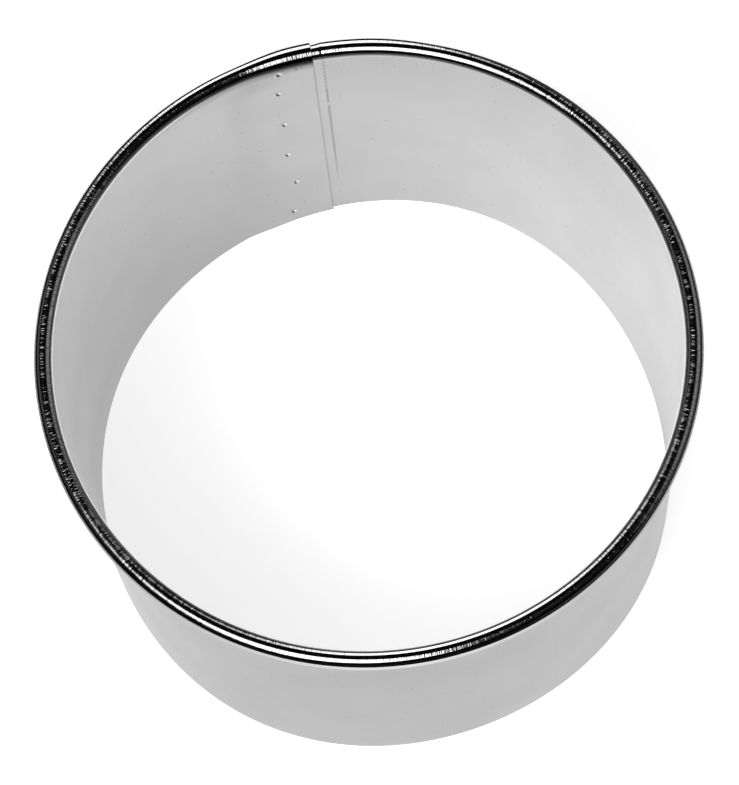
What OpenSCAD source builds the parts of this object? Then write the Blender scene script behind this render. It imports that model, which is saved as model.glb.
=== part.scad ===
// Round biscuit cutter: one strip of thin tinned sheet, curled into a hollow bead along its
// top edge, bent into a ring, lapped on itself at the back and spot welded through the lap.
// Millimetres, at real size. The origin is the centre of the cutting edge, +Z points up to
// the bead, and the cut end of the lap's inner layer lies on +Y.

/* [Ring] */
// Inside diameter, which is the size of the round that it cuts
cutter_d = 70; // [50:1:110]
// Height from the cutting edge to the top of the bead
cutter_h = 44.5; // [30:0.5:70]
// Thickness of the tinned sheet
sheet_t = 0.3; // [0.2:0.05:0.4]

/* [Bead] */
// Outer diameter of the curled bead
bead_d = 2.1; // [1.8:0.1:3.2]

/* [Lap] */
// Width of the overlap between the strip's two ends, in the wall
lap_w = 7; // [6:0.5:12]
// Length over which the inner end's wall steps inwards by one sheet
joggle_w = 5; // [3:0.5:10]
// Length over which the inner end's bead sleeves the other end's bead
sleeve_w = 2; // [1:0.5:4]
// Length over which that bead swells to its sleeve size
swell_w = 7; // [3:0.5:8]
// Clearance between two layers of sheet that lie on each other
layer_gap = 0.02; // [0.01:0.01:0.05]

/* [Spot welds] */
// Diameter of each weld nugget
weld_d = 1.2; // [0.8:0.1:1.3]
// Distance from the lap's cut end to the row of welds
weld_row = 4.5; // [1.5:0.1:5]
// How far each weld strays from that row, away from the cut end, from the lowest weld up
weld_strays = [0.6, -0.3, 0.2, 0, 0.1, -0.3]; // [-0.8:0.1:0.8]
// Height of the lowest weld above the cutting edge
weld_edge = 2.9; // [1:0.1:5]
// Distance from the bead down to the top weld
weld_top_drop = 0.7; // [0.7:0.1:3]
// Distance between the top weld and the one below it
weld_top_step = 4.9; // [2.5:0.1:8]
// Diameter of the dimple that an electrode leaves on each face of a weld
dimple_d = 0.7; // [0.4:0.1:0.7]
// Depth of that dimple
dimple_depth = 0.1; // [0.04:0.01:0.15]

/* [Clamp mark] */
// Distance from the lap's cut end to the pressed line beside it
mark_offset = 1.1; // [0.6:0.1:3]
// Width of the pressed line
mark_w = 0.35; // [0.2:0.05:0.6]
// Depth of the pressed line
mark_depth = 0.05; // [0.02:0.01:0.1]
// Height of the pressed line's lower end above the cutting edge
mark_foot = 9; // [2:0.5:20]

/* [Hidden] */
weld_count = len(weld_strays);

// Smoothness of true curves
fine = 96;
// Points round the bead's section and stations along the swept lap bead
section_steps = 26;
joggle_steps = 8;
lap_steps = 18;
// How far a cutting solid runs past what it cuts
past = 1;
full_turn = 360;

cutter_r = cutter_d / 2;
bead_r = bead_d / 2;
// The bead's centre line: the wall's inner face runs on as the bead's outer face
bead_ring_r = cutter_r + bead_r;
bead_z = cutter_h - bead_r;
// The inner layer lies this far inside the outer one
lap_step = sheet_t + layer_gap;
inner_r = cutter_r - lap_step;

// Angles round the ring, measured from +X. The seam is the cut end of the inner layer. From
// there the overlap runs on to the outer layer's hidden end, which is nearer the seam in the
// bead than in the wall. The joggle ends where the inner layer is back at the full radius, and
// the lap's bead ends where both its swelling and the joggle below it have run out.
seam_a = 90;
hidden_a = seam_a + arc_angle(lap_w);
joggle_a = hidden_a + arc_angle(joggle_w);
sleeve_a = seam_a + arc_angle(sleeve_w);
swell_a = sleeve_a + arc_angle(swell_w);
lap_end_a = max(joggle_a, swell_a);
mark_a = seam_a - arc_angle(mark_offset);

// The welds below the top one are evenly spaced
weld_top = bead_z - weld_top_drop;
weld_pitch = (weld_top - weld_top_step - weld_edge) / (weld_count - 2);

// Angle that an arc of this length takes at the wall's inner face
function arc_angle(length) = length / cutter_r * 180 / PI;

// Smooth step down from 1 at angle a0 to 0 at angle a1
function ease(u) = u * u * (3 - 2 * u);
function fall(a, a0, a1) = a <= a0 ? 1 : a >= a1 ? 0 : ease((a1 - a) / (a1 - a0));

// Inner face of the inner layer's wall at an angle, and outer radius of its curl there, all
// round but for the quarter that leads up from the wall
function lap_wall_r(a) = cutter_r - lap_step * fall(a, hidden_a, joggle_a);
function lap_curl_r(a) = bead_r + lap_step * fall(a, sleeve_a, swell_a);

// Angle of a weld round the ring, and its height above the cutting edge
function weld_a(i) = seam_a + arc_angle(weld_row + weld_strays[i - 1]);
function weld_z(i) = i < weld_count ? weld_edge + (i - 1) * weld_pitch : weld_top;

// Angle below the bead's centre, from the wall side, at which a curl of radius r stops just
// clear of the outer layer's outer face
function curl_stop(r) = acos((bead_r - lap_step) / r);

// Angle of a point on a curl's section, its radius there, which eases from wall_reach at the
// wall to r at the top, and the point itself, sunk by the given depth below the outer skin
function curl_angle(k, r) = 180 - k / section_steps * (360 - curl_stop(r));
function curl_reach(t, r, wall_reach) = t > 90 ? r + (wall_reach - r) * pow(cos(t), 2) : r;
function curl_point(t, reach) = [bead_ring_r + reach * cos(t), bead_z + reach * sin(t)];

// One face of that section from the wall over the top to the free edge, and the whole outline,
// out along the outer skin and back along the inside
function curl_face(r, wall_reach, depth) = [
    for (k = [0 : section_steps])
        let (t = curl_angle(k, r))
            curl_point(t, curl_reach(t, r, wall_reach) - depth)
];
function curl_points(r, wall_reach) = concat(
    curl_face(r, wall_reach, 0),
    reversed(curl_face(r, wall_reach, sheet_t))
);
function reversed(list) = [for (k = [len(list) - 1 : -1 : 0]) list[k]];

// A point of a section, turned round the ring to angle a
function turned(p, a) = [p[0] * cos(a), p[0] * sin(a), p[1]];

// Evenly spaced values from a0 to a1, both included
function steps_between(a0, a1, count) = [for (k = [0 : count]) a0 + (a1 - a0) * k / count];

// Ring sector of rectangular section between two radii, two heights and two angles
module sector(r_in, r_out, z0, z1, a0, a1) {
    rotate([0, 0, a0])
        rotate_extrude(angle = a1 - a0, $fn = fine)
            translate([r_in, z0])
                square([r_out - r_in, z1 - z0]);
}

// Solids that stand across the sheet at every weld
module weld_cores() {
    for (i = [1 : weld_count])
        weld_core(i);
}

// Round bar through both layers at one weld
module weld_core(i) {
    rotate([0, 0, weld_a(i)])
        translate([inner_r - past, 0, weld_z(i)])
            rotate([0, 90, 0])
                cylinder(d = weld_d, h = cutter_r + sheet_t - inner_r + 2 * past, $fn = fine);
}

// Ball that presses a dimple of the given width and depth, centred on radius r of the ring
module dimple(i, r, side) {
    ball_r = (dimple_d * dimple_d / 4 + dimple_depth * dimple_depth) / (2 * dimple_depth);
    rotate([0, 0, weld_a(i)])
        translate([r + side * (ball_r - dimple_depth), 0, weld_z(i)])
            rotate([0, 0, 90])
                sphere(r = ball_r, $fn = fine);
}

// Thin bar that presses the line beside the seam into the wall's inner face
module clamp_mark() {
    rotate([0, 0, mark_a])
        translate([cutter_r - past, -mark_w / 2, mark_foot])
            cube([past + mark_depth, mark_w, cutter_h]);
}

// The plain wall, from the joggle right round to the hidden end under the lap
module wall_band() {
    color([0.80, 0.81, 0.82])
        difference() {
            sector(cutter_r, cutter_r + sheet_t, 0, bead_z, joggle_a, hidden_a + full_turn);
            weld_cores();
            clamp_mark();
        }
}

// The hollow bead along the wall's top edge, from the lap's bead right round to its end inside
// that bead: a round shell with its free edge just clear of the wall
module rolled_bead() {
    reach = bead_r + past;
    color([0.62, 0.63, 0.65])
        rotate([0, 0, lap_end_a])
            rotate_extrude(angle = sleeve_a + full_turn - lap_end_a, $fn = fine)
                translate([bead_ring_r, bead_z])
                    difference() {
                        circle(r = bead_r, $fn = fine);
                        circle(r = bead_r - sheet_t, $fn = fine);
                        polygon([
                            [0, 0],
                            [-reach, 0],
                            [-reach, -reach * tan(curl_stop(bead_r))]
                        ]);
                    }
}

// The wall of the strip's inner end: it steps in by one sheet and runs on to the cut end
module lap_wall() {
    color([0.83, 0.84, 0.85])
        difference() {
            union() {
                joggle_wall();
                sector(inner_r, inner_r + sheet_t, 0, bead_z, seam_a, hidden_a);
            }
            weld_cores();
        }
}

// The stepped stretch of wall
module joggle_wall() {
    angles = steps_between(hidden_a, joggle_a, joggle_steps);
    inner = [for (a = angles) lap_wall_r(a) * [cos(a), sin(a)]];
    outer = [for (a = angles) (lap_wall_r(a) + sheet_t) * [cos(a), sin(a)]];
    linear_extrude(height = bead_z)
        polygon(concat(inner, reversed(outer)));
}

// The bead of the inner end: it swells by one sheet and sleeves the other end's bead
module lap_bead() {
    rings = [
        for (a = steps_between(seam_a, lap_end_a, lap_steps))
            [for (p = curl_points(lap_curl_r(a), bead_ring_r - lap_wall_r(a))) turned(p, a)]
    ];
    color([0.66, 0.67, 0.69])
        swept_shell(rings);
}

// Closed solid through rings of points, with the first and last ring as its ends; each ring
// runs out along one face of the sheet and back along the other
module swept_shell(rings) {
    count = len(rings[0]);
    half = count / 2;
    last = len(rings) - 1;
    points = [for (ring = rings) each ring];
    sides = [
        for (j = [0 : last - 1])
            for (k = [0 : count - 1])
                let (n = (k + 1) % count)
                    each [
                        [j * count + k, j * count + n, (j + 1) * count + n],
                        [j * count + k, (j + 1) * count + n, (j + 1) * count + k]
                    ]
    ];
    first_end = [
        for (k = [0 : half - 2])
            let (m = count - 1 - k)
                each [[k, m, m - 1], [k, m - 1, k + 1]]
    ];
    last_end = [for (f = first_end) [for (v = [2, 1, 0]) last * count + f[v]]];
    polyhedron(points = points, faces = concat(sides, first_end, last_end), convexity = 6);
}

// One nugget that joins the two layers of the lap, dimpled on both faces
module spot_weld(i) {
    color([0.55, 0.56, 0.58])
        difference() {
            intersection() {
                lap_ring();
                weld_core(i);
            }
            dimple(i, inner_r, -1);
            dimple(i, cutter_r + sheet_t, 1);
        }
}

// A full ring as thick as the lap's two layers together
module lap_ring() {
    difference() {
        cylinder(r = cutter_r + sheet_t, h = bead_z, $fn = fine);
        translate([0, 0, -past])
            cylinder(r = inner_r, h = bead_z + 2 * past, $fn = fine);
    }
}

wall_band();
rolled_bead();
lap_wall();
lap_bead();
for (i = [1 : weld_count])
    spot_weld(i);
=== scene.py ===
"""Round biscuit cutter: a ring of tinned sheet with a rolled bead and a spot-welded lap.

The ring is one strip of sheet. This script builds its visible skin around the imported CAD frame:
the wall, the bead, the two stretches of the inner end that lie over the outer end, and the six
weld marks. Lengths in the classes are millimetres, and each mesh is written in metres.

Places on the strip are given by two coordinates. The arc is the distance along the wall's inner
face, counted from the lap's cut end, which lies on +Y, anticlockwise seen from above. The run is
the height on the wall, and on the bead the angle round its own centre.
"""

from __future__ import annotations

import logging
import math
from dataclasses import dataclass
from enum import Enum

import bpy
import numpy as np
from mathutils import Matrix, Vector


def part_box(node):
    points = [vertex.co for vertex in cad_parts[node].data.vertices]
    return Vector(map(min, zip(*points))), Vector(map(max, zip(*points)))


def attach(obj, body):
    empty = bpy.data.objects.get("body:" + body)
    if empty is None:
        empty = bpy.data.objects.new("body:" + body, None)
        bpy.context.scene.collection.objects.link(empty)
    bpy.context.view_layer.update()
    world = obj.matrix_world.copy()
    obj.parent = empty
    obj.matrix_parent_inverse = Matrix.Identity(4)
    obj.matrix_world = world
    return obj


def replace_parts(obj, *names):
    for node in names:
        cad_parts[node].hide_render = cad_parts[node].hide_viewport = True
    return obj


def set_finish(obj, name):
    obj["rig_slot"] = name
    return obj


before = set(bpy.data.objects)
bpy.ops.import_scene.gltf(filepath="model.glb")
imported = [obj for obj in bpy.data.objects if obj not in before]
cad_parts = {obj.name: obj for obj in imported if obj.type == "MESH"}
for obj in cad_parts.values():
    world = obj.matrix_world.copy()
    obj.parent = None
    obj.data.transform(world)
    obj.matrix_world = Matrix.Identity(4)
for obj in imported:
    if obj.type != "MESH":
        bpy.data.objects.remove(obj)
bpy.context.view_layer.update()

MM = 0.001
SEAM_ANGLE = math.pi / 2
LOG = logging.getLogger("biscuit_cutter")


class Slot(Enum):
    """The record's material slots."""

    WALL = "tinned_wall"
    BEAD = "bright_bead"
    WELD = "weld_spot"


def smooth_step(u: np.ndarray) -> np.ndarray:
    """Rises from 0 to 1 with level ends: u squared times (3 - 2u), with u held between 0 and 1."""
    u = np.clip(u, 0.0, 1.0)
    return u * u * (3.0 - 2.0 * u)


def fall(arc: np.ndarray, start: float, end: float) -> np.ndarray:
    """1 up to the start, an eased step down, and 0 from the end on."""
    return smooth_step((end - arc) / (end - start))


def spaced(*stretches: tuple[float, float, float]) -> np.ndarray:
    """Sorted places that cover several stretches, each at its own spacing.

    Args:
        stretches: (start, end, spacing) of each stretch, in one unit.

    Returns:
        All the places, with those that nearly coincide kept once.
    """
    runs = [np.linspace(a, b, max(2, int(round((b - a) / step)) + 1)) for a, b, step in stretches]
    places = np.unique(np.concatenate(runs))
    keep = np.concatenate([[True], np.diff(places) > 1e-4])
    return places[keep]


@dataclass(frozen=True)
class RingSizes:
    """The ring's main sizes, read off the frame's own boxes."""

    cutter_r: float
    sheet_t: float
    bead_r: float
    bead_z: float

    @classmethod
    def from_frame(cls) -> RingSizes:
        """Works the sizes out from the boxes of the wall and the bead, to a hundredth of a mm.

        Returns:
            The ring's sizes.
        """
        wall_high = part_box("wall_band")[1]
        bead_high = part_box("rolled_bead")[1]
        bead_z = round(wall_high.z / MM, 2)
        bead_r = round(bead_high.z / MM - bead_z, 2)
        cutter_r = round(bead_high.x / MM - 2 * bead_r, 1)
        return cls(cutter_r, round(wall_high.x / MM - cutter_r, 1), bead_r, bead_z)

    @property
    def round_arc(self) -> float:
        """Length of the full circle along the wall's inner face."""
        return 2 * math.pi * self.cutter_r

    @property
    def bead_ring_r(self) -> float:
        """Radius of the bead's centre line: the wall's inner face runs on as the bead's skin."""
        return self.cutter_r + self.bead_r

    def angle(self, arc: np.ndarray) -> np.ndarray:
        """Angle round the ring, from +X, of a place along the strip."""
        return SEAM_ANGLE + arc / self.cutter_r


@dataclass(frozen=True)
class LapSizes:
    """How the strip's inner end lies over its outer end."""

    overlap: float = 7.0
    joggle: float = 5.0
    sleeve: float = 2.0
    swell: float = 7.0
    layer_gap: float = 0.02

    @property
    def end(self) -> float:
        """Arc at which the inner end's own stretch stops."""
        return max(self.overlap + self.joggle, self.sleeve + self.swell)

    def step(self, sheet_t: float) -> float:
        """How far the inner layer lies inside the outer one."""
        return sheet_t + self.layer_gap

    def wall_fall(self, arc: np.ndarray) -> np.ndarray:
        """Share of the step that the wall still has: 1 over the overlap, 0 past the joggle."""
        return fall(arc, self.overlap, self.overlap + self.joggle)

    def curl_fall(self, arc: np.ndarray) -> np.ndarray:
        """Share of the step that the curl still has: 1 over the sleeve, 0 past its swell."""
        return fall(arc, self.sleeve, self.sleeve + self.swell)


@dataclass(frozen=True)
class Wobble:
    """How a ring bent from thin sheet strays from a true circle towards its cutting edge.

    Each wave is (waves round the ring, cosine part, sine part).
    """

    waves: tuple[tuple[int, float, float], ...] = (
        (2, -0.17, 0.11),
        (3, -0.07, -0.12),
        (4, -0.13, -0.17),
    )
    fade_power: float = 1.6

    def offset(self, angle: np.ndarray, height: np.ndarray, bead_z: float) -> np.ndarray:
        """Outward offset: the sum of the waves, times (1 - height / bead_z) to the fade's power."""
        total = sum(c * np.cos(n * angle) + s * np.sin(n * angle) for n, c, s in self.waves)
        return total * np.clip(1.0 - height / bead_z, 0.0, 1.0) ** self.fade_power


@dataclass(frozen=True)
class EdgeRound:
    """The small round that shearing and tinning leave along a cut edge."""

    radius: float = 0.08
    steps: int = 4

    def places(self) -> np.ndarray:
        """Distances from the edge that draw the round, and one just past it."""
        turn = np.linspace(0.0, math.pi / 2, self.steps + 1)
        return np.append(self.radius * (1.0 - np.cos(turn)), self.radius * 1.2)

    def inset(self, distance: np.ndarray) -> np.ndarray:
        """How far the face lies under its flat level: radius minus a quarter circle's height."""
        rest = np.clip(self.radius - distance, 0.0, self.radius)
        return self.radius - np.sqrt(self.radius**2 - rest**2)


class SheetMesh:
    """A closed solid of sheet: two facing grids of points, joined along their rims."""

    def __init__(self, name: str, slot: Slot) -> None:
        """Keeps the piece's name and the record's slot that it takes its finish from."""
        self.name = name
        self.slot = slot

    @staticmethod
    def _quads(rows: int, columns: int, first: int) -> np.ndarray:
        """Corner numbers of a grid's quads, turning from the first axis to the second.

        Args:
            rows: points along the first axis.
            columns: points along the second axis.
            first: number of the grid's first point.

        Returns:
            Corner numbers, quads by 4.
        """
        index = first + np.arange(rows * columns).reshape(rows, columns)
        corners = (index[:-1, :-1], index[1:, :-1], index[1:, 1:], index[:-1, 1:])
        return np.stack(corners, axis=-1).reshape(-1, 4)

    @staticmethod
    def _strip(a: np.ndarray, b: np.ndarray) -> np.ndarray:
        """Quads between two equal rows of corner numbers."""
        return np.stack([a[:-1], a[1:], b[1:], b[:-1]], axis=-1)

    def build(
        self, inner: np.ndarray, outer: np.ndarray, chart: np.ndarray, wear_and_shade: np.ndarray
    ) -> bpy.types.Object:
        """Joins the two faces into one closed mesh.

        Args:
            inner: points of the face towards the ring's axis, arc by run by 3, in mm.
            outer: points of the other face, in the same order.
            chart: arc and run of each point, arc by run by 2, for the pattern map.
            wear_and_shade: how dark wear, dirt and painted shade make each point of the first face, arc
                by run.

        Returns:
            The finished object, at the origin.
        """
        rows, columns = inner.shape[:2]
        near = np.arange(rows * columns).reshape(rows, columns)
        far = near + rows * columns
        quads = np.concatenate([
            self._quads(rows, columns, 0)[:, ::-1],
            self._quads(rows, columns, rows * columns),
            self._strip(near[:, 0], far[:, 0]),
            self._strip(far[:, -1], near[:, -1]),
            self._strip(far[0], near[0]),
            self._strip(near[-1], far[-1]),
        ])
        points = np.concatenate([inner.reshape(-1, 3), outer.reshape(-1, 3)])
        charts = np.concatenate([chart.reshape(-1, 2), chart.reshape(-1, 2)])
        darkening = np.concatenate([wear_and_shade.ravel(), np.zeros(wear_and_shade.size)])
        return make_piece(self.name, self.slot, points, [quads], charts, darkening)


def make_piece(
    name: str,
    slot: Slot,
    points: np.ndarray,
    faces: list[np.ndarray],
    chart: np.ndarray,
    wear_and_shade: np.ndarray,
    crease: float = 40.0,
) -> bpy.types.Object:
    """Writes a smooth-shaded mesh with its pattern map and its wear and painted shade.

    Args:
        name: the piece's name.
        slot: the record's material slot.
        points: corner points in mm, n by 3.
        faces: corner numbers in groups of one kind, faces by 4 or by 3, anticlockwise from outside.
        chart: arc and run of each point, n by 2.
        wear_and_shade: how dark wear, dirt and painted shade make each point, n.
        crease: angle in degrees above which an edge stays sharp.

    Returns:
        The object, riding on the root body.
    """
    corners = np.concatenate([group.ravel() for group in faces]).astype(np.int32)
    sides = np.concatenate([np.full(len(group), group.shape[1]) for group in faces])
    starts = (np.cumsum(sides) - sides).astype(np.int32)
    mesh = bpy.data.meshes.new(name)
    mesh.vertices.add(len(points))
    mesh.vertices.foreach_set("co", (points * MM).astype(np.float32).ravel())
    mesh.loops.add(corners.size)
    mesh.loops.foreach_set("vertex_index", corners)
    mesh.polygons.add(len(sides))
    mesh.polygons.foreach_set("loop_start", starts)
    mesh.polygons.foreach_set("use_smooth", np.ones(len(sides), bool))
    mesh.update(calc_edges=True)
    layer = mesh.uv_layers.new(name="strip")
    layer.data.foreach_set("uv", chart[corners].astype(np.float32).ravel())
    darkening = mesh.attributes.new("wear_and_shade", "FLOAT", "POINT")
    darkening.data.foreach_set("value", wear_and_shade.astype(np.float32).ravel())
    mesh.set_sharp_from_angle(angle=math.radians(crease))
    mesh.validate()
    piece = bpy.data.objects.new(name, mesh)
    bpy.context.scene.collection.objects.link(piece)
    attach(piece, "root")
    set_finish(piece, slot.value)
    return piece


@dataclass(frozen=True)
class ClampMark:
    """The line that the welding clamp pressed into the wall beside the cut end, and over the bead."""

    arc: float = -1.1
    half_width: float = 0.13
    depth: float = 0.05
    dirt: float = 0.42
    foot: float = 9.0
    foot_rise: float = 9.0
    foot_share: float = 0.25
    gap: tuple[float, float] = (30.9, 32.1)
    gap_ease: float = 0.3
    dash_from: float = 35.5
    dash_pitch: float = 0.95
    dash_mean: float = 0.6

    def across(self, arc: np.ndarray) -> np.ndarray:
        """Share of the depth across the line: a bell curve of the distance from its middle."""
        return np.exp(-(((arc - self.arc) / self.half_width) ** 2))

    def along(self, height: np.ndarray) -> np.ndarray:
        """Share of the depth up the wall: it fades in at the foot, breaks off, and ends in dashes.

        Args:
            height: heights above the cutting edge.

        Returns:
            The share at each height.
        """
        risen = smooth_step((height - self.foot) / self.foot_rise) * (1.0 - self.foot_share)
        foot = risen + self.foot_share * (height > self.foot)
        past_low = smooth_step((height - self.gap[0]) / self.gap_ease)
        under_high = smooth_step((self.gap[1] - height) / self.gap_ease)
        wave = np.cos(2 * math.pi * (height - self.dash_from) / self.dash_pitch)
        dash = self.dash_mean + (1.0 - self.dash_mean) * wave
        dashes = np.where(height > self.dash_from, dash, 1.0)
        return foot * (1.0 - past_low * under_high) * dashes


@dataclass(frozen=True)
class Weld:
    """One spot weld: a small crater with a soft rim on the inner face, and a pip on the outer one."""

    number: int
    arc: float
    height: float
    radius: float = 0.6
    dent_r: float = 0.34
    dent_depth: float = 0.12
    tallness: float = 1.7
    rim_height: float = 0.008
    proud: float = 0.006
    plain_dark: float = 0.5
    # Painted shade on one side of the weld's bowl.
    shade_dark: float = 0.93
    pocket_reach: float = 0.97
    pocket_ease: float = 0.15
    pocket_spare: float = 0.06

    def reach(self, arc: np.ndarray, height: np.ndarray) -> np.ndarray:
        """Distance from the middle, with heights drawn together by the dent's tallness."""
        return np.hypot(arc - self.arc, (height - self.height) / self.tallness)

    def face(self, arc: np.ndarray, height: np.ndarray) -> np.ndarray:
        """Height of the crater's face over the sheet: a bell-shaped rim less a bowl in the middle.

        Args:
            arc: places along the strip.
            height: heights above the cutting edge.

        Returns:
            Heights in mm, below zero inside the bowl.
        """
        reach = self.reach(arc, height)
        rim = self.rim_height * np.exp(-(((reach - 1.2 * self.dent_r) / (0.25 * self.dent_r)) ** 2))
        bowl = self.dent_depth * np.clip(1.0 - (reach / self.dent_r) ** 2, 0.0, None) ** 1.2
        return self.proud + rim - bowl

    def tarnish_and_shade(self, arc: np.ndarray, height: np.ndarray) -> np.ndarray:
        """Darkness of the weld: tarnish all over, painted shade on the bowl's side towards the joggle and
        downward, and a painted highlight on the other side.

        Args:
            arc: places along the strip.
            height: heights above the cutting edge.

        Returns:
            Darkness from 0 to 1.
        """
        upward = (height - self.height) / self.tallness
        towards = (0.7 * (arc - self.arc) - 0.5 * upward) / self.dent_r
        inside = fall(self.reach(arc, height), 0.8 * self.dent_r, 1.1 * self.dent_r)
        # Painted shade on the side towards the joggle and down, and a painted highlight on the other
        # side.
        shaded = inside * smooth_step(towards / 0.3)
        bright = inside * smooth_step(-towards / 0.3)
        return np.maximum(self.plain_dark * (1.0 - bright), self.shade_dark * shaded)

    def pocket(self, arc: np.ndarray, height: np.ndarray) -> np.ndarray:
        """Depth of the hollow in the sheet that the crater sits in, from the distance to its middle.

        Args:
            arc: places along the strip.
            height: heights above the cutting edge.

        Returns:
            Depths in mm.
        """
        reach = np.hypot(arc - self.arc, height - self.height) / self.radius
        share = smooth_step((self.pocket_reach - reach) / self.pocket_ease)
        return (self.dent_depth + self.pocket_spare) * share


@dataclass(frozen=True)
class WeldRow:
    """The row of spot welds down the lap."""

    row: float = 4.5
    strays: tuple[float, ...] = (0.6, -0.3, 0.2, 0.0, 0.1, -0.3)

    def welds(self) -> list[Weld]:
        """The welds from the lowest up, each at the height of its own node in the frame.

        Returns:
            The six welds.
        """
        found = []
        for number, stray in enumerate(self.strays, start=1):
            low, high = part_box(f"spot_weld_{number}")
            found.append(Weld(number, self.row + stray, (low.z + high.z) / 2 / MM))
        return found


@dataclass(frozen=True)
class Wrinkles:
    """The fine crosswise wrinkles that curling leaves in the bead, and painted shade on its outward skin.

    Both are strongest at the bead's two sides; the wrinkles because the sheet was curled across its grain
    there.
    """

    seed: int = 11
    pitch: float = 0.1
    spread: float = 0.005
    lanes: int = 6
    noise_half: float = 1.7
    shared: float = 0.9
    own: float = 0.45
    inward: float = 0.8
    calm: float = 0.45
    root_turn: float = 0.35
    strong_at: float = math.radians(-5)
    sides_power: float = 0.7
    # Painted shade on the bead's outward skin and crest, at the ring's two sides.
    rim_shade: float = 0.8
    rim_shade_from: float = math.radians(80)
    rim_shade_full: float = math.radians(25)
    crest_shade: float = 0.55
    crest_at: float = math.radians(97)
    crest_width: float = math.radians(20)

    def sides(self, angle: np.ndarray) -> np.ndarray:
        """1 at the bead's two sides and 0 halfway between them, by the cosine of twice the angle."""
        return 0.5 + 0.5 * np.cos(2 * (angle - self.strong_at))

    def field(self, sizes: RingSizes) -> tuple[np.ndarray, np.ndarray]:
        """Random swells along the bead, one row for each lane across it.

        Each lane mixes its own even noise with noise that all lanes share, so a wrinkle runs
        right across before it fades.

        Args:
            sizes: the ring's sizes.

        Returns:
            The arcs of the samples, and the swells, samples by lanes, with a spread of 1.
        """
        rng = np.random.default_rng(self.seed)
        count = int(sizes.round_arc / self.pitch) + 1
        noise = rng.uniform(-self.noise_half, self.noise_half, size=(count, self.lanes + 1))
        swells = self.shared * noise[:, :1] + self.own * noise[:, 1:]
        return np.linspace(0.0, sizes.round_arc, count), swells

    def swell(self, sizes: RingSizes, arc: np.ndarray, turn: np.ndarray) -> np.ndarray:
        """Outward swell of the bead's skin at every arc and turn.

        Args:
            sizes: the ring's sizes.
            arc: places along the strip.
            turn: angles round the bead, from the wall at pi down to the free edge.

        Returns:
            Swells in mm, arc by turn, mostly inward. They vanish where the bead leaves the wall.
        """
        samples, swells = self.field(sizes)
        lane = np.interp(turn, [-math.pi, math.pi], [self.lanes - 1.0, 0.0])
        low = np.clip(np.floor(lane).astype(int), 0, self.lanes - 2)
        share = smooth_step(lane - low)
        at = np.mod(arc, sizes.round_arc)
        rows = np.stack([np.interp(at, samples, swells[:, k]) for k in range(self.lanes)], axis=1)
        mixed = rows[:, low] * (1.0 - share) + rows[:, low + 1] * share
        strength = self.calm + (1.0 - self.calm) * self.sides(sizes.angle(arc))
        return self.spread * (mixed - self.inward) * strength[:, None] * self.from_wall(turn)[None, :]

    def from_wall(self, turn: np.ndarray) -> np.ndarray:
        """0 where the bead leaves the wall, rising to 1 over the root's turn."""
        return smooth_step((math.pi - turn) / self.root_turn)

    def side_shade(self, sizes: RingSizes, arc: np.ndarray, turn: np.ndarray) -> np.ndarray:
        """Painted shade on the bead's outward skin, growing from its upper side to its rim.

        The crest gets painted shade too, by a bell curve of the turn.

        Args:
            sizes: the ring's sizes.
            arc: places along the strip.
            turn: angles round the bead's centre.

        Returns:
            Darkness, arc by turn.
        """
        rim = self.rim_shade * fall(turn, self.rim_shade_full, self.rim_shade_from)
        crest = self.crest_shade * np.exp(-(((turn - self.crest_at) / self.crest_width) ** 2))
        return self.sides(sizes.angle(arc))[:, None] ** self.sides_power * np.maximum(rim, crest)[None, :]


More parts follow.
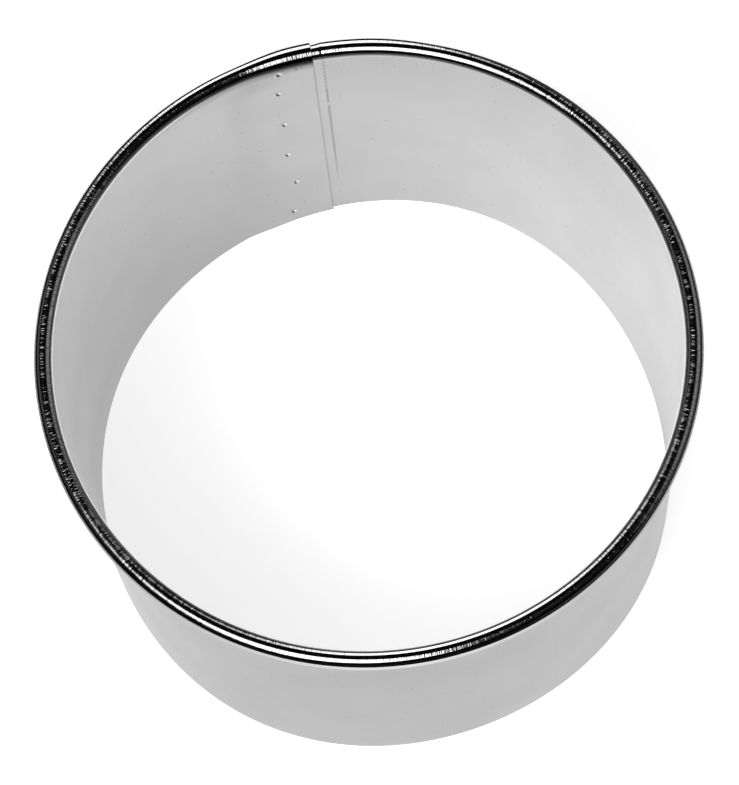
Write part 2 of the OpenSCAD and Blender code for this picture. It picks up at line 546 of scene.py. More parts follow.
@dataclass(frozen=True)
class Strip:
    """The strip of sheet as a surface: where any point of its wall and bead lies."""

    sizes: RingSizes
    lap: LapSizes
    wobble: Wobble
    wrinkles: Wrinkles
    mark: ClampMark
    cut: EdgeRound
    tuck_from: float = -0.5
    upper_steps: int = 18
    lower_steps: int = 4
    bulge_share: float = 0.15
    bulge_rise: float = 1.4
    bulge_fade: tuple[float, float] = (6.0, 14.0)
    # Painted shade under the bead, left of the seam, and on the bead's root where it meets the wall.
    under_bead_dark: float = 0.4
    under_bead_depth: float = 1.3
    under_bead_along: tuple[float, float] = (8.0, 26.0)
    root_shade: float = 0.3
    settle_height: float = 4.0

    def wall_r(self, arc: np.ndarray, inner_end: bool) -> np.ndarray:
        """Radius of the wall's inner face at the bead, stepped in over the lap on the inner end.

        Args:
            arc: places along the strip.
            inner_end: whether this is the inner end's stretch.

        Returns:
            Radii in mm.
        """
        if not inner_end:
            return np.full_like(arc, self.sizes.cutter_r)
        drop = self.lap.step(self.sizes.sheet_t) * self.lap.wall_fall(arc)
        return self.sizes.cutter_r - drop

    def curl_r(self, arc: np.ndarray, inner_end: bool) -> np.ndarray:
        """Outer radius of the curl, swollen by one sheet where the inner end sleeves the outer one.

        Args:
            arc: places along the strip.
            inner_end: whether this is the inner end's stretch.

        Returns:
            Radii in mm.
        """
        if not inner_end:
            return np.full_like(arc, self.sizes.bead_r)
        rise = self.lap.step(self.sizes.sheet_t) * self.lap.curl_fall(arc)
        return self.sizes.bead_r + rise

    def bulge(self, arc: np.ndarray) -> np.ndarray:
        """Stretch of the bead's outward half: where it leaves the sleeve it stands a little proud.

        Args:
            arc: places along the strip.

        Returns:
            The factor at each arc.
        """
        half_round = self.sizes.round_arc / 2
        before_seam = half_round - np.mod(arc + half_round, self.sizes.round_arc)
        rise = smooth_step(before_seam / self.bulge_rise)
        return 1.0 + self.bulge_share * rise * fall(before_seam, *self.bulge_fade)

    def settle(self, arc: np.ndarray, height: np.ndarray) -> np.ndarray:
        """Outward shift of both layers just under the bead, where the wall's step gives way.

        It is the step times the difference between the wall's fall and the curl's, and it eases
        in over the settling height, so that the wall meets the bead's own radius.

        Args:
            arc: places along the strip.
            height: heights above the cutting edge.

        Returns:
            Shifts in mm.
        """
        along = np.mod(arc, self.sizes.round_arc)
        share = self.lap.wall_fall(along) - self.lap.curl_fall(along)
        rise = smooth_step(1.0 - (self.sizes.bead_z - height) / self.settle_height)
        return self.lap.step(self.sizes.sheet_t) * share * rise

    def under_bead_shade(self, arc: np.ndarray, below: np.ndarray) -> np.ndarray:
        """Painted shade on the wall just under the bead, left of the seam.

        Args:
            arc: places along the strip.
            below: distances down from the bead's centre, or up over the bead's root as negatives.

        Returns:
            Darkness, arc by distance: it fades out down the wall and along the arc.
        """
        down = fall(below, 0.0, self.under_bead_depth)
        return self.under_bead_dark * fall(arc, *self.under_bead_along)[:, None] * down[None, :]

    def wall(
        self, arc: np.ndarray, height: np.ndarray, depth: np.ndarray, inner_end: bool
    ) -> np.ndarray:
        """Points of the wall: the radius at the arc, plus the wobble and the depth into the sheet.

        Args:
            arc: places along the strip.
            height: heights above the cutting edge.
            depth: depth into the sheet from its inner face, arc by height.
            inner_end: whether this is the inner end's stretch.

        Returns:
            Points, arc by height by 3.
        """
        angle = self.sizes.angle(arc)[:, None]
        radius = self.wall_r(arc, inner_end)[:, None] + depth
        radius = radius + self.wobble.offset(angle, height[None, :], self.sizes.bead_z)
        radius = radius + self.settle(arc[:, None], height[None, :])
        tall = np.broadcast_to(height[None, :], radius.shape)
        return np.stack([radius * np.cos(angle), radius * np.sin(angle), tall], axis=-1)

    def bead(
        self, arc: np.ndarray, turn: np.ndarray, depth: np.ndarray, inner_end: bool
    ) -> np.ndarray:
        """Points of the bead: a circle round the bead's centre line, less the depth.

        The circle's outward half is stretched by the bulge.

        Args:
            arc: places along the strip.
            turn: angles round the bead's centre, from the wall at pi over the top.
            depth: depth into the sheet from its outer skin, arc by turn.
            inner_end: whether this is the inner end's stretch.

        Returns:
            Points, arc by turn by 3.
        """
        sizes = self.sizes
        angle = sizes.angle(arc)[:, None]
        curl = self.curl_r(arc, inner_end)[:, None]
        reach = curl - depth
        bent = self.tucked(curl, turn)
        sideways = reach * np.cos(bent)
        sideways = np.where(sideways > 0.0, sideways * self.bulge(arc)[:, None], sideways)
        radius = sizes.bead_ring_r + sideways
        tall = sizes.bead_z + reach * np.sin(bent)
        return np.stack([radius * np.cos(angle), radius * np.sin(angle), tall], axis=-1)

    def free_edge(self, curl: np.ndarray) -> np.ndarray:
        """Angle at which a curl of this radius stops, just clear of the wall's outer face."""
        return np.arccos((self.sizes.bead_r - self.lap.step(self.sizes.sheet_t)) / curl) - math.pi

    def tucked(self, curl: np.ndarray, turn: np.ndarray) -> np.ndarray:
        """Angles of the plain bead, drawn in underneath so that a swollen curl clears the wall.

        Args:
            curl: outer radius of the curl.
            turn: angles round a plain bead.

        Returns:
            The angles that this curl really has.
        """
        plain_end = self.free_edge(np.array(self.sizes.bead_r))
        share = np.clip((turn - self.tuck_from) / (plain_end - self.tuck_from), 0.0, 1.0)
        return turn + share * (self.free_edge(curl) - plain_end)

    def turns(self) -> np.ndarray:
        """Angles round the bead, close together on its upper side and wider apart underneath.

        Returns:
            Angles from the wall at pi down to the free edge.
        """
        last = float(self.free_edge(np.array(self.sizes.bead_r)))
        upper = np.linspace(math.pi, self.tuck_from, self.upper_steps)
        lower = np.linspace(self.tuck_from, last, self.lower_steps)
        return np.concatenate([[math.pi, math.pi - 0.02], upper[1:], lower[1:]])


@dataclass(frozen=True)
class WallBand:
    """The plain wall, from the joggle right round to the outer layer's end under the lap."""

    strip: Strip
    row_pitch: float = 0.6
    arc_pitch: float = 0.8

    def build(self) -> bpy.types.Object:
        """Makes the wall, with the clamp's line pressed into its inner face.

        Returns:
            The wall's object.
        """
        sizes, lap, mark, cut = self.strip.sizes, self.strip.lap, self.strip.mark, self.strip.cut
        full = sizes.round_arc
        end = full + lap.overlap
        centre = full + mark.arc
        fine = 4 * mark.half_width
        arc = spaced(
            (lap.end, centre - fine, self.arc_pitch),
            (centre - fine, centre + fine, 0.05),
            (centre + fine, end - 1.2 * cut.radius, self.arc_pitch),
        )
        arc = np.unique(np.concatenate([arc, end - cut.places()]))
        top = sizes.bead_z
        height = spaced(
            (1.2 * cut.radius, mark.gap[0] - 1.0, self.row_pitch),
            (mark.gap[0] - 1.0, top - 0.05, 0.3),
            (top - 0.05, top, 0.05),
        )
        height = np.unique(np.concatenate([height, cut.places()]))
        inset = cut.inset(end - arc)[:, None] + cut.inset(height)[None, :]
        inset = np.minimum(inset, 0.45 * sizes.sheet_t)
        pressed = mark.depth * mark.across(arc - full)[:, None] * mark.along(height)[None, :]
        pressed = pressed * fall(height, top - 0.4, top)[None, :]
        inner = self.strip.wall(arc, height, inset + pressed, False)
        outer = self.strip.wall(arc, height, sizes.sheet_t - inset, False)
        chart = np.stack(np.meshgrid(arc, height, indexing="ij"), axis=-1)
        # The clamp line's dirt, with the painted shade under the bead.
        wear_and_shade = np.maximum(mark.dirt * pressed / mark.depth, self.strip.under_bead_shade(arc, top - height))
        piece = SheetMesh("ring_wall", Slot.WALL).build(inner, outer, chart, wear_and_shade)
        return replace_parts(piece, "wall_band")


@dataclass(frozen=True)
class Fringe:
    """Ragged dark marks that hang down the wall from the bead, left of the cut end."""

    seed: int = 5
    rise: float = 0.8
    longest: float = 1.7
    shortest: float = 0.2
    tip: float = 0.5
    darkness: float = 0.75
    knot: float = 0.15
    reach_along: tuple[float, float] = (4.0, 6.5)

    def dark(self, arc: np.ndarray, above_seam: np.ndarray) -> np.ndarray:
        """Darkness that fades out at a random distance down from the fringe's top.

        Args:
            arc: places along the strip.
            above_seam: heights above the bead's centre.

        Returns:
            Darkness, arc by height.
        """
        rng = np.random.default_rng(self.seed)
        knots = np.arange(0.0, self.reach_along[1] + 1.0, self.knot)
        length = np.interp(arc, knots, rng.uniform(self.shortest, self.longest, knots.size))
        below = self.rise - above_seam
        hang = smooth_step((length[:, None] - below[None, :]) / self.tip) * (below > 0.0)[None, :]
        return self.darkness * hang * fall(arc, *self.reach_along)[:, None]


@dataclass(frozen=True)
class LapWall:
    """The wall of the strip's inner end, with its step inwards and the hollows under the welds."""

    strip: Strip
    welds: list[Weld]
    bare_edge_and_shadow: float = 0.5

    def build(self) -> bpy.types.Object:
        """Makes the stepped wall, rounded at its cut end and along the cutting edge.

        Returns:
            The wall's object.
        """
        sizes, lap, cut = self.strip.sizes, self.strip.lap, self.strip.cut
        arcs = [weld.arc for weld in self.welds]
        arc = spaced(
            (1.2 * cut.radius, min(arcs) - 0.7, 0.15),
            (min(arcs) - 0.7, max(arcs) + 0.7, 0.08),
            (max(arcs) + 0.7, lap.end, 0.3),
        )
        arc = np.unique(np.concatenate([arc, cut.places()]))
        top = sizes.bead_z
        near = [(weld.height - 0.7, min(weld.height + 0.7, top), 0.08) for weld in self.welds]
        height = spaced((1.2 * cut.radius, top - 1.2, 0.6), (top - 1.2, top, 0.1), *near)
        height = np.unique(np.concatenate([height, cut.places()]))
        inset = cut.inset(arc)[:, None] + cut.inset(height)[None, :]
        inset = np.minimum(inset, 0.45 * sizes.sheet_t)
        hollow = sum(weld.pocket(arc[:, None], height[None, :]) for weld in self.welds)
        inner = self.strip.wall(arc, height, inset + hollow, True)
        outer = self.strip.wall(arc, height, sizes.sheet_t - inset, True)
        chart = np.stack(np.meshgrid(arc, height, indexing="ij"), axis=-1)
        # Bare steel at the cut end, with a painted contact shadow along it.
        wear_and_shade = self.bare_edge_and_shadow * fall(arc, 0.5 * cut.radius, 1.5 * cut.radius)[:, None]
        wear_and_shade = np.maximum(wear_and_shade, Fringe().dark(arc, height - top))
        wear_and_shade = np.maximum(wear_and_shade, self.strip.under_bead_shade(arc, top - height))
        piece = SheetMesh("lap_wall_skin", Slot.WALL).build(inner, outer, chart, wear_and_shade)
        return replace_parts(piece, "lap_wall")


@dataclass(frozen=True)
class Bead:
    """One stretch of the rolled bead: the plain ring, or the swollen sleeve at the lap."""

    strip: Strip
    inner_end: bool
    nick_from: float = 1.1
    nick_ease: float = 0.4
    # Painted shade on the bead's root, in the crease where it meets the wall.
    root_from: float = 0.45
    root_to: float = 0.85
    root_shade_gain: float = 1.9

    def build(self) -> bpy.types.Object:
        """Makes the curl with its wrinkles, its rounded cut end and the clamp's nick.

        Returns:
            The bead's object.
        """
        strip, sizes, lap = self.strip, self.strip.sizes, self.strip.lap
        cut = EdgeRound(radius=0.05, steps=3)
        if self.inner_end:
            name, node = "lap_bead_skin", "lap_bead"
            arc = np.unique(np.concatenate([spaced((1.2 * cut.radius, lap.end, 0.1)), cut.places()]))
            inset = cut.inset(arc)[:, None]
        else:
            name, node = "ring_bead", "rolled_bead"
            end = sizes.round_arc + lap.sleeve
            arc = spaced((lap.end, end, strip.wrinkles.pitch))
            inset = np.zeros((len(arc), 1))
        turn = strip.turns()
        over = smooth_step((turn - self.nick_from) / self.nick_ease) * strip.wrinkles.from_wall(turn)
        nick = strip.mark.depth * strip.mark.across(arc - sizes.round_arc)[:, None] * over[None, :]
        skin = inset - strip.wrinkles.swell(sizes, arc, turn) + nick
        back = np.broadcast_to(sizes.sheet_t - inset, skin.shape)
        outer_skin = strip.bead(arc, turn, skin, self.inner_end)
        inner_skin = strip.bead(arc, turn, back, self.inner_end)
        run = sizes.bead_z + (math.pi - turn) * sizes.bead_r
        chart = np.stack(np.meshgrid(arc, run, indexing="ij"), axis=-1)
        wear_and_shade = self.wear_and_shade(arc, turn)
        piece = SheetMesh(name, Slot.BEAD).build(outer_skin, inner_skin, chart, wear_and_shade)
        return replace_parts(piece, node)

    def wear_and_shade(self, arc: np.ndarray, turn: np.ndarray) -> np.ndarray:
        """Darkness of the bead's skin: painted shade on its outward skin and crest, painted shade on its
        root that is deeper left of the seam, and the fringe's dark marks.

        Args:
            arc: places along the strip.
            turn: angles round the bead's centre.

        Returns:
            Darkness, arc by turn.
        """
        strip, bead_r = self.strip, self.strip.sizes.bead_r
        lift = np.where(turn > math.pi / 2, bead_r * np.sin(turn), 2 * bead_r)
        root = fall(lift, self.root_from * bead_r, self.root_to * bead_r)[None, :]
        # Painted shade in the crease between the bead and the wall, deeper left of the seam.
        rooted = root * np.maximum(strip.root_shade, self.root_shade_gain * strip.under_bead_shade(arc, -lift))
        wear_and_shade = np.maximum(strip.wrinkles.side_shade(strip.sizes, arc, turn), rooted)
        if self.inner_end:
            wear_and_shade = np.maximum(wear_and_shade, Fringe().dark(arc, lift))
        return wear_and_shade


@dataclass(frozen=True)
class WeldSpot:
    """The visible nugget of one spot weld, turned about an axis that points to the ring's own."""

    strip: Strip
    weld: Weld
    sides: int = 32
    rings: int = 22
    sunk: float = 0.05
    outer_pip: float = 0.02

    def build(self) -> bpy.types.Object:
        """Makes the nugget: crater, side through both layers, and outer pip, turned as a lathe does.

        Returns:
            The nugget's object.
        """
        weld, sizes, lap = self.weld, self.strip.sizes, self.strip.lap
        through = sizes.sheet_t + lap.step(sizes.sheet_t)
        reach_in = np.linspace(0.01, weld.radius, self.rings)
        reach_out = reach_in[::-3]
        level_out = -through - self.outer_pip * np.cos(reach_out / weld.radius * math.pi / 2)
        reach = np.concatenate([reach_in, [weld.radius, weld.radius], reach_out])
        around = np.linspace(0.0, 2 * math.pi, self.sides, endpoint=False)
        arc = weld.arc + reach[:, None] * np.cos(around)[None, :]
        height = weld.height + reach[:, None] * np.sin(around)[None, :]
        beyond = np.concatenate([[-self.sunk, 0.01 - through], level_out])
        level = np.concatenate([
            weld.face(arc[: reach_in.size], height[: reach_in.size]),
            np.broadcast_to(beyond[:, None], (beyond.size, self.sides)),
        ])
        angle = sizes.angle(arc)
        stray = self.strip.wobble.offset(angle, height, sizes.bead_z) + self.strip.settle(arc, height)
        radius = sizes.cutter_r - lap.step(sizes.sheet_t) + stray - level
        points = np.stack([radius * np.cos(angle), radius * np.sin(angle), height], axis=-1)
        index = np.arange(reach.size * self.sides).reshape(reach.size, self.sides)
        ahead = np.roll(index, -1, axis=1)
        sides = np.stack([index[:-1], index[1:], ahead[1:], ahead[:-1]], axis=-1).reshape(-1, 4)
        inner_pole = np.full(self.sides, index.size)
        caps = [
            np.stack([ahead[0], inner_pole, index[0]], axis=-1),
            np.stack([index[-1], inner_pole + 1, ahead[-1]], axis=-1),
        ]
        middle = points[[0, -1]].mean(axis=1)
        mesh_points = np.concatenate([points.reshape(-1, 3), middle])
        centre = np.full((2, 2), (weld.arc, weld.height))
        chart = np.concatenate([np.stack([arc, height], axis=-1).reshape(-1, 2), centre])
        # Tarnish, with the painted shade and highlight of the weld's bowl.
        wear_and_shade = weld.tarnish_and_shade(chart[:, 0], chart[:, 1])
        name = f"weld_mark_{weld.number}"
        piece = make_piece(name, Slot.WELD, mesh_points, [sides, *caps], chart, wear_and_shade, crease=60.0)
        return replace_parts(piece, f"spot_weld_{weld.number}")


class NodeTree:
    """A material's nodes, made and linked in short calls."""

    def __init__(self, name: str) -> None:
        """Starts a material with only its output node.

        Args:
            name: the material's name.
        """
        self.material = bpy.data.materials.new(name)
        self.material.use_nodes = True
        self.nodes = self.material.node_tree.nodes
        self.links = self.material.node_tree.links
        self.nodes.clear()
        self.output = self.nodes.new("ShaderNodeOutputMaterial")

    def add(self, kind: str, settings: dict | None = None, **inputs: object) -> bpy.types.Node:
        """Adds a node, sets its properties, and sets or links its inputs.

        Args:
            kind: the node's type name, without its ShaderNode start.
            settings: the node's own properties.
            inputs: socket names with underscores for spaces, each with a value or a socket.

        Returns:
            The new node.
        """
        node = self.nodes.new("ShaderNode" + kind)
        for key, value in (settings or {}).items():
            setattr(node, key, value)
        for key, value in inputs.items():
            self.put(node.inputs[key.replace("_", " ")], value)
        return node

    def put(self, socket: bpy.types.NodeSocket, value: object) -> None:
        """Links a socket to another, or sets its value.

        Args:
            socket: the input to fill.
            value: another node's socket, or a plain value.
        """
        if isinstance(value, bpy.types.NodeSocket):
            self.links.new(value, socket)
        else:
            socket.default_value = value

    def math(self, operation: str, a: object, b: object = 0.0) -> bpy.types.NodeSocket:
        """One arithmetic step on two numbers; a comparison gives 0 or 1.

        Args:
            operation: the Math node's operation.
            a: first number or socket.
            b: second number or socket.

        Returns:
            The result's socket.
        """
        node = self.add("Math", {"operation": operation})
        self.put(node.inputs[0], a)
        self.put(node.inputs[1], b)
        return node.outputs[0]

    def ramp(
        self, value: object, low: float, high: float, to_low: float, to_high: float
    ) -> bpy.types.NodeSocket:
        """Maps a range of numbers smoothly onto another range.

        Args:
            value: the number or socket to map.
            low: start of the range.
            high: end of the range.
            to_low: result at the start.
            to_high: result at the end.

        Returns:
            The result's socket.
        """
        node = self.add("MapRange", {"interpolation_type": "SMOOTHSTEP"})
        for socket, number in zip(node.inputs[:5], (value, low, high, to_low, to_high)):
            self.put(socket, number)
        return node.outputs[0]

    def grey(self, value: object) -> bpy.types.NodeSocket:
        """A neutral colour of the given brightness."""
        return self.add("CombineColor", Red=value, Green=value, Blue=value).outputs[0]


@dataclass(frozen=True)
class TinFinish:
    """Tinned sheet: satin or bright, with smudges, fine scratches and tiny dark specks."""

    name: str
    grey: float
    roughness: float
    smudge: float
    speck: float
    scratch_height: float
    scratch_stretch: tuple[float, float]
    scratch_detail: float = 4.0
    anisotropy: float = 0.0
    calm: float = 1.0
    stroke: float = 0.0
    smudge_scale: float = 110.0
    speck_scale: float = 650.0
    speck_r: float = 0.09
    speck_share: float = 0.35
    stroke_stretch: tuple[float, float] = (2.2, 0.12)
    stroke_r: tuple[float, float] = (0.05, 0.16)
    stroke_share: float = 0.05

    def material(self) -> bpy.types.Material:
        """Builds the metal: a dark-to-bright tone, a slightly uneven roughness and a scratch bump.

        The highlights are drawn out along the strip, by the tangent of the strip's own map.

        Returns:
            The material.
        """
        tree = NodeTree(self.name)
        place = tree.add("TexCoord").outputs["Object"]
        chart = tree.add("UVMap", {"uv_map": "strip"}).outputs[0]
        broad = tree.add("TexNoise", Vector=place, Scale=self.smudge_scale, Detail=3.0, Roughness=0.55)
        broad = broad.outputs["Fac"]
        darker = self.darkness(tree, place, chart, broad)
        tone = tree.math("MULTIPLY", tree.math("SUBTRACT", 1.0, darker), self.grey)
        rough = tree.ramp(broad, 0.3, 0.75, self.roughness * 0.97, self.roughness * 1.04)
        along = tree.add("Tangent", {"direction_type": "UV_MAP", "uv_map": "strip"})
        shader = tree.add(
            "BsdfPrincipled", Base_Color=tree.grey(tone), Metallic=1.0, Roughness=rough,
            Anisotropic=self.anisotropy, Tangent=along.outputs[0],
            Normal=self.scratches(tree, place, chart),
        )
        tree.links.new(shader.outputs[0], tree.output.inputs["Surface"])
        return tree.material

    def darkness(
        self,
        tree: NodeTree,
        place: bpy.types.NodeSocket,
        chart: bpy.types.NodeSocket,
        broad: bpy.types.NodeSocket,
    ) -> bpy.types.NodeSocket:
        """Darkness of the metal, from 0, clean, to 1.

        Smudges come from broad noise, specks from scattered cells in object space, upright
        strokes from drawn-out cells on the strip's map, and wear, dirt and painted shade from the
        mesh's own attribute.

        Args:
            tree: the material's nodes.
            place: object coordinates.
            chart: the strip's map.
            broad: the broad noise.

        Returns:
            The darkness.
        """
        smudge = tree.ramp(broad, 0.35, 0.7, 0.0, self.smudge)
        cells = tree.add("TexVoronoi", Vector=place, Scale=self.speck_scale, Randomness=1.0)
        spot = tree.math("LESS_THAN", cells.outputs["Distance"], self.speck_r)
        pick = tree.add("SeparateColor", Color=cells.outputs["Color"]).outputs[0]
        speck = tree.math("MULTIPLY", spot, tree.math("GREATER_THAN", pick, 1.0 - self.speck_share))
        drawn = tree.add("Mapping", Vector=chart, Scale=(*self.stroke_stretch, 1.0)).outputs[0]
        settings = {"voronoi_dimensions": "2D"}
        strokes = tree.add("TexVoronoi", settings, Vector=drawn, Scale=1.0, Randomness=1.0)
        pick = tree.add("SeparateColor", Color=strokes.outputs["Color"]).outputs[1]
        stroke = tree.ramp(strokes.outputs["Distance"], *self.stroke_r, self.stroke, 0.0)
        stroke = tree.math("MULTIPLY", stroke, tree.math("GREATER_THAN", pick, 1.0 - self.stroke_share))
        darker = tree.math("ADD", smudge, stroke)
        darker = tree.math("ADD", darker, tree.math("MULTIPLY", speck, self.speck))
        # The mesh's attribute holds wear, dirt and painted shade.
        wear_and_shade = tree.add("Attribute", {"attribute_type": "GEOMETRY", "attribute_name": "wear_and_shade"})
        return tree.math("MAXIMUM", darker, wear_and_shade.outputs["Fac"])

    def scratches(
        self, tree: NodeTree, place: bpy.types.NodeSocket, chart: bpy.types.NodeSocket
    ) -> bpy.types.NodeSocket:
        """Normals of the scratches: a bump of noise drawn out on the strip's map.

        Their depth is full at +X and -X and falls to the calm share at +Y and -Y, with the square
        of the X part of the outward direction.

        Args:
            tree: the material's nodes.
            place: object coordinates.
            chart: the strip's map.

        Returns:
            The bumped normals.
        """
        drawn = tree.add("Mapping", Vector=chart, Scale=(*self.scratch_stretch, 1.0)).outputs[0]
        detail = self.scratch_detail
        lines = tree.add("TexNoise", Vector=drawn, Scale=1.0, Detail=detail, Roughness=0.6).outputs["Fac"]
        flat = tree.add("Mapping", Vector=place, Scale=(1.0, 1.0, 0.0)).outputs[0]
        outward = tree.add("VectorMath", {"operation": "NORMALIZE"}, Vector=flat).outputs["Vector"]
        across = tree.add("SeparateXYZ", Vector=outward).outputs["X"]
        share = tree.ramp(tree.math("MULTIPLY", across, across), 0.0, 1.0, self.calm, 1.0)
        depth = tree.math("MULTIPLY", lines, share)
        bump = tree.add("Bump", Height=depth, Distance=self.scratch_height * MM, Strength=1.0)
        return bump.outputs[0]


FINISHES: dict[Slot, TinFinish] = {
    Slot.WALL: TinFinish(
        "satin_tin",
        grey=0.385,
        roughness=0.34,
        smudge=0.03,
        speck=0.35,
        scratch_height=0.0012,
        scratch_stretch=(3.0, 0.12),
        stroke=0.15,
    ),
    Slot.BEAD: TinFinish(
        "bright_tin",
        grey=0.66,
        roughness=0.08,
        smudge=0.06,
        speck=0.1,
        scratch_height=0.036,
        scratch_stretch=(10.0, 0.3),
        scratch_detail=0.0,
        anisotropy=1.0,
        calm=0.3,
    ),
    Slot.WELD: TinFinish(
        "weld_tin",
        grey=0.83,
        roughness=0.3,
        smudge=0.04,
        speck=0.2,
        scratch_height=0.002,
        scratch_stretch=(6.0, 6.0),
    ),
}


def direction(azimuth: float, elevation: float) -> np.ndarray:
    """Unit vector towards an azimuth from +X and an elevation above the floor, in degrees."""
    a, e = math.radians(azimuth), math.radians(elevation)
    return np.array([math.cos(a) * math.cos(e), math.sin(a) * math.cos(e), math.sin(e)])


@dataclass(frozen=True)
class Softbox:
    """A rectangular soft lamp that looks at the middle of the ring."""

    name: str
    azimuth: float
    elevation: float
    distance: float
    width_deg: float
    height_deg: float
    radiance: float
    roll_deg: float = 0.0

    def build(self, aim: np.ndarray) -> bpy.types.Object:
        """Makes the lamp. Its power is its radiance times pi times its area.

        Args:
            aim: the point that it looks at, in metres.

        Returns:
            The lamp's object.
        """
        lamp = bpy.data.lights.new(self.name, "AREA")
        lamp.shape = "RECTANGLE"
        lamp.size = 2 * self.distance * math.tan(math.radians(self.width_deg / 2))
        lamp.size_y = 2 * self.distance * math.tan(math.radians(self.height_deg / 2))
        lamp.energy = self.radiance * math.pi * lamp.size * lamp.size_y
        away = direction(self.azimuth, self.elevation)
        obj = bpy.data.objects.new(self.name, lamp)
        turn = Vector(away).to_track_quat("Z", "Y").to_matrix().to_4x4()
        turn = turn @ Matrix.Rotation(math.radians(self.roll_deg), 4, "Z")
        obj.matrix_world = Matrix.Translation(Vector(aim + away * self.distance)) @ turn
        obj.visible_camera = False
        bpy.context.scene.collection.objects.link(obj)
        return obj


@dataclass(frozen=True)
class FloorPool:
    """A narrow lamp high over the ring that brightens the floor inside it.

    Reflections don't show the lamp itself, so it lights the wall only by way of the floor.
    """

    name: str = "floor_pool"
    x: float = 0.014
    y: float = 0.012
    radius: float = 0.03
    height: float = 0.5
    level: float = 0.55

    def build(self) -> bpy.types.Object:
        """Makes the lamp. Its power gives a white floor below it a brightness of its level.

        Returns:
            The lamp's object.
        """
        lamp = bpy.data.lights.new(self.name, "SPOT")
        lamp.spot_size = 2 * math.atan(self.radius / self.height)
        lamp.spot_blend = 1.0
        lamp.shadow_soft_size = 0.01
        lamp.energy = self.level * (2 * math.pi * self.height) ** 2
        obj = bpy.data.objects.new(self.name, lamp)
        obj.location = (self.x, self.y, self.height)
        obj.visible_camera = False
        obj.visible_glossy = False
        bpy.context.scene.collection.objects.link(obj)
        return obj


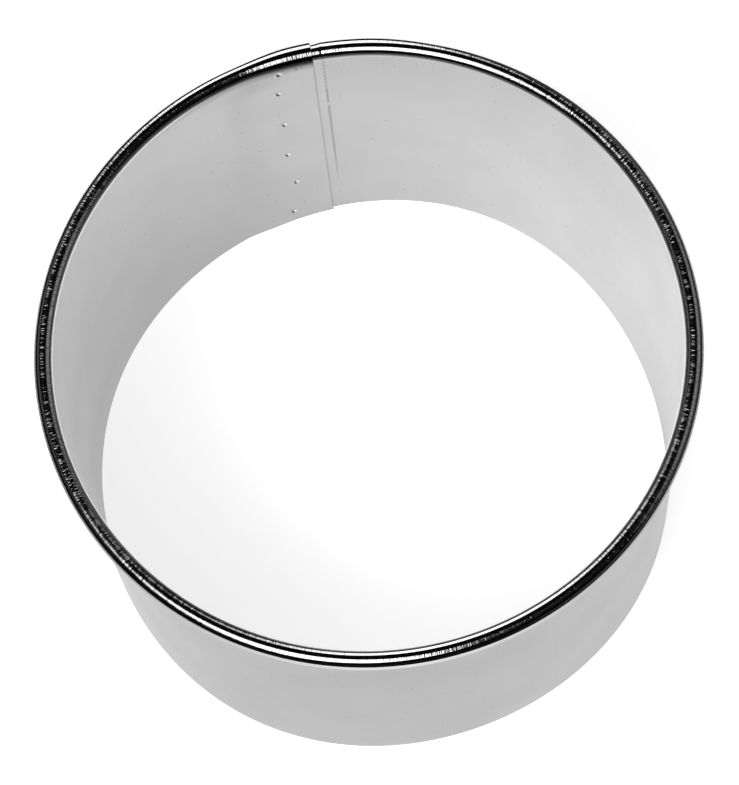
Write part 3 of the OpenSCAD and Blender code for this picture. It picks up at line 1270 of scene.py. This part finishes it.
@dataclass(frozen=True)
class Studio:
    """A white floor, two soft lamps and three dim cards, in a dark that only reflections show."""

    floor_r: float = 3.0
    white_from: float = 0.08
    white_full: float = 0.19
    near_glow: float = 0.78
    paint: float = 0.88
    flag_r: float = 0.16
    flag_h: float = 0.08
    flag_glow: float = 0.15
    glow_z: tuple[float, float] = (0.05, 0.065)
    flag_from: float = 0.3
    flag_full: float = 0.7
    cloth: float = 0.03
    dome_r: float = 1.8
    ground: float = -0.00003
    lamps: tuple[Softbox, ...] = (
        Softbox("overhead_softbox", -125.0, 59.0, 1.0, 35.0, 37.0, 3.05, 34.0),
        Softbox("back_softbox", 92.5, 30.0, 1.1, 32.0, 32.0, 2.0),
        Softbox("right_card", 2.0, 31.0, 1.1, 28.0, 38.0, 0.3),
        Softbox("far_right_card", 29.0, 31.0, 1.1, 26.0, 38.0, 0.17),
        Softbox("left_card", 145.0, 18.0, 1.1, 60.0, 30.0, 0.14),
    )

    def floor_material(self) -> bpy.types.Material:
        """White paint that also glows for the camera and for reflections, fully so further out.

        The glow grows with the distance from the ring, so near the ring the paint still shows the
        ring's own shadow.

        Returns:
            The material.
        """
        tree = NodeTree("white_floor")
        place = tree.add("TexCoord").outputs["Object"]
        distance = tree.add("VectorMath", {"operation": "LENGTH"}, Vector=place).outputs["Value"]
        path = tree.add("LightPath")
        seen = tree.math("MAXIMUM", path.outputs["Is Camera Ray"], path.outputs["Is Glossy Ray"])
        seen = tree.math("MAXIMUM", seen, path.outputs["Is Transmission Ray"])
        glow = tree.ramp(distance, self.white_from, self.white_full, self.near_glow, 1.0)
        paint = tree.add("BsdfDiffuse", Color=(self.paint, self.paint, self.paint, 1.0))
        light = tree.add("Emission", Strength=tree.math("MULTIPLY", glow, seen))
        both = tree.add("AddShader")
        tree.links.new(paint.outputs[0], both.inputs[0])
        tree.links.new(light.outputs[0], both.inputs[1])
        tree.links.new(both.outputs[0], tree.output.inputs["Surface"])
        return tree.material

    def flag_material(self) -> bpy.types.Material:
        """Black cloth, with a dim glow on the right above the ring's rim, as a room lets in there.

        Returns:
            The material.
        """
        tree = NodeTree("black_flag")
        place = tree.add("TexCoord").outputs["Object"]
        parts = tree.add("SeparateXYZ", Vector=place).outputs
        start, full = self.flag_from * self.flag_r, self.flag_full * self.flag_r
        glow = tree.ramp(parts["X"], start, full, 0.0, self.flag_glow)
        glow = tree.math("MULTIPLY", glow, tree.ramp(parts["Z"], *self.glow_z, 0.0, 1.0))
        cloth = tree.add("BsdfDiffuse", Color=(self.cloth, self.cloth, self.cloth, 1.0))
        light = tree.add("Emission", Strength=glow)
        both = tree.add("AddShader")
        tree.links.new(cloth.outputs[0], both.inputs[0])
        tree.links.new(light.outputs[0], both.inputs[1])
        tree.links.new(both.outputs[0], tree.output.inputs["Surface"])
        return tree.material

    def dome_material(self) -> bpy.types.Material:
        """Matt black cloth.

        Returns:
            The material.
        """
        tree = NodeTree("black_dome")
        cloth = tree.add("BsdfDiffuse", Color=(self.cloth, self.cloth, self.cloth, 1.0))
        tree.links.new(cloth.outputs[0], tree.output.inputs["Surface"])
        return tree.material

    def turned(self, name: str, profile: np.ndarray, material: bpy.types.Material) -> bpy.types.Object:
        """Turns a profile of radius and height about the ring's axis into a staged surface.

        Args:
            name: the object's name.
            profile: radius and height of each point, in metres.
            material: its material.

        Returns:
            The staged object.
        """
        sides = 96
        around = np.linspace(0.0, 2 * math.pi, sides, endpoint=False)
        x = profile[:, :1] * np.cos(around)
        y = profile[:, :1] * np.sin(around)
        z = np.broadcast_to(profile[:, 1:], x.shape)
        index = np.arange(x.size).reshape(x.shape)
        ahead = np.roll(index, -1, axis=1)
        quads = np.stack([index[:-1], index[1:], ahead[1:], ahead[:-1]], axis=-1).reshape(-1, 4)
        mesh = bpy.data.meshes.new(name)
        mesh.from_pydata(np.stack([x, y, z], axis=-1).reshape(-1, 3).tolist(), [], quads.tolist())
        mesh.materials.append(material)
        obj = bpy.data.objects.new(name, mesh)
        bpy.context.scene.collection.objects.link(obj)
        return obj

    def build(self, sizes: RingSizes) -> None:
        """Makes the floor, the flag, the dome, the lamps, the cards and the white world.

        Args:
            sizes: the ring's sizes, for the height that the lamps look at.
        """
        rings = np.array([0.0005, 0.05, 0.1, 0.2, 0.4, 1.0, self.floor_r])
        floor_profile = np.stack([rings, np.full_like(rings, self.ground)], axis=1)
        self.turned("floor", floor_profile, self.floor_material())
        fence = np.array([[self.flag_r, self.ground], [self.flag_r, self.flag_h]])
        low_flag = self.turned("low_flag", fence, self.flag_material())
        bow = np.linspace(0.0, math.pi / 2 - 0.01, 24)
        dome = self.dome_r * np.stack([np.cos(bow), np.sin(bow)], axis=1)
        dark_dome = self.turned("flag_dome", dome, self.dome_material())
        for flag in (low_flag, dark_dome):
            flag.visible_camera = False
        low_flag.visible_shadow = False
        low_flag.visible_diffuse = False
        aim = np.array([0.0, 0.0, sizes.bead_z * MM])
        for lamp in self.lamps:
            lamp.build(aim)
        FloorPool().build()
        self.world()

    @staticmethod
    def world() -> None:
        """A plain white world, the backdrop of every view."""
        world = bpy.data.worlds.new("white_world")
        world.use_nodes = True
        shade = world.node_tree.nodes["Background"]
        shade.inputs["Color"].default_value = (1.0, 1.0, 1.0, 1.0)
        shade.inputs["Strength"].default_value = 1.0
        bpy.context.scene.world = world


@dataclass(frozen=True)
class ViewCamera:
    """The photograph's camera: where it stands, how it is turned, and how long its lens is."""

    stand_off: float = 0.122798
    height: float = 0.375139
    round_deg: float = -3.4035
    pitch_deg: float = 70.5518
    yaw_deg: float = 0.2285
    roll_deg: float = 7.5254
    focal_px: float = 3195.466
    frame_px: tuple[int, int] = (739, 785)
    sensor_mm: float = 36.0

    def build(self) -> bpy.types.Object:
        """Makes the camera from its forward, right and up directions.

        Returns:
            The camera's object, set as the scene's camera.
        """
        yaw, pitch, roll = (math.radians(d) for d in (self.yaw_deg, self.pitch_deg, self.roll_deg))
        right = np.array([math.cos(yaw), math.sin(yaw), 0.0])
        ahead = np.array([-math.sin(yaw), math.cos(yaw), 0.0])
        rise = np.array([0.0, 0.0, 1.0])
        forward = ahead * math.cos(pitch) - rise * math.sin(pitch)
        upward = ahead * math.sin(pitch) + rise * math.cos(pitch)
        image_right = right * math.cos(roll) - upward * math.sin(roll)
        image_up = right * math.sin(roll) + upward * math.cos(roll)
        place = Matrix(np.array([image_right, image_up, -forward]).T.tolist()).to_4x4()
        place.translation = Vector((0.0, -self.stand_off, self.height))
        data = bpy.data.cameras.new("photo_camera")
        data.sensor_width = self.sensor_mm
        data.lens = self.focal_px * self.sensor_mm / max(self.frame_px)
        data.clip_start, data.clip_end = 0.01, 20.0
        camera = bpy.data.objects.new("photo_camera", data)
        camera.matrix_world = Matrix.Rotation(math.radians(self.round_deg), 4, "Z") @ place
        bpy.context.scene.collection.objects.link(camera)
        bpy.context.scene.camera = camera
        return camera


def dress(pieces: list[bpy.types.Object]) -> None:
    """Gives every piece the finish of its slot.

    Args:
        pieces: the finished pieces.
    """
    made = {slot: finish.material() for slot, finish in FINISHES.items()}
    for piece in pieces:
        piece.data.materials.clear()
        piece.data.materials.append(made[Slot(piece["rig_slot"])])


def main() -> None:
    """Builds the cutter piece by piece, then the studio round it."""
    logging.basicConfig(level=logging.INFO, format="%(name)s: %(message)s")
    sizes = RingSizes.from_frame()
    LOG.info("sizes %s", sizes)
    strip = Strip(sizes, LapSizes(), Wobble(), Wrinkles(), ClampMark(), EdgeRound())
    welds = WeldRow().welds()
    builders = [WallBand(strip), LapWall(strip, welds), Bead(strip, False), Bead(strip, True)]
    builders += [WeldSpot(strip, weld) for weld in welds]
    pieces = []
    for builder in builders:
        piece = builder.build()
        LOG.info("%s: %d faces", piece.name, len(piece.data.polygons))
        pieces.append(piece)
    dress(pieces)
    ViewCamera().build()
    Studio().build(sizes)
    bpy.context.scene.view_settings.view_transform = "Standard"


if __name__ == "__main__":
    main()
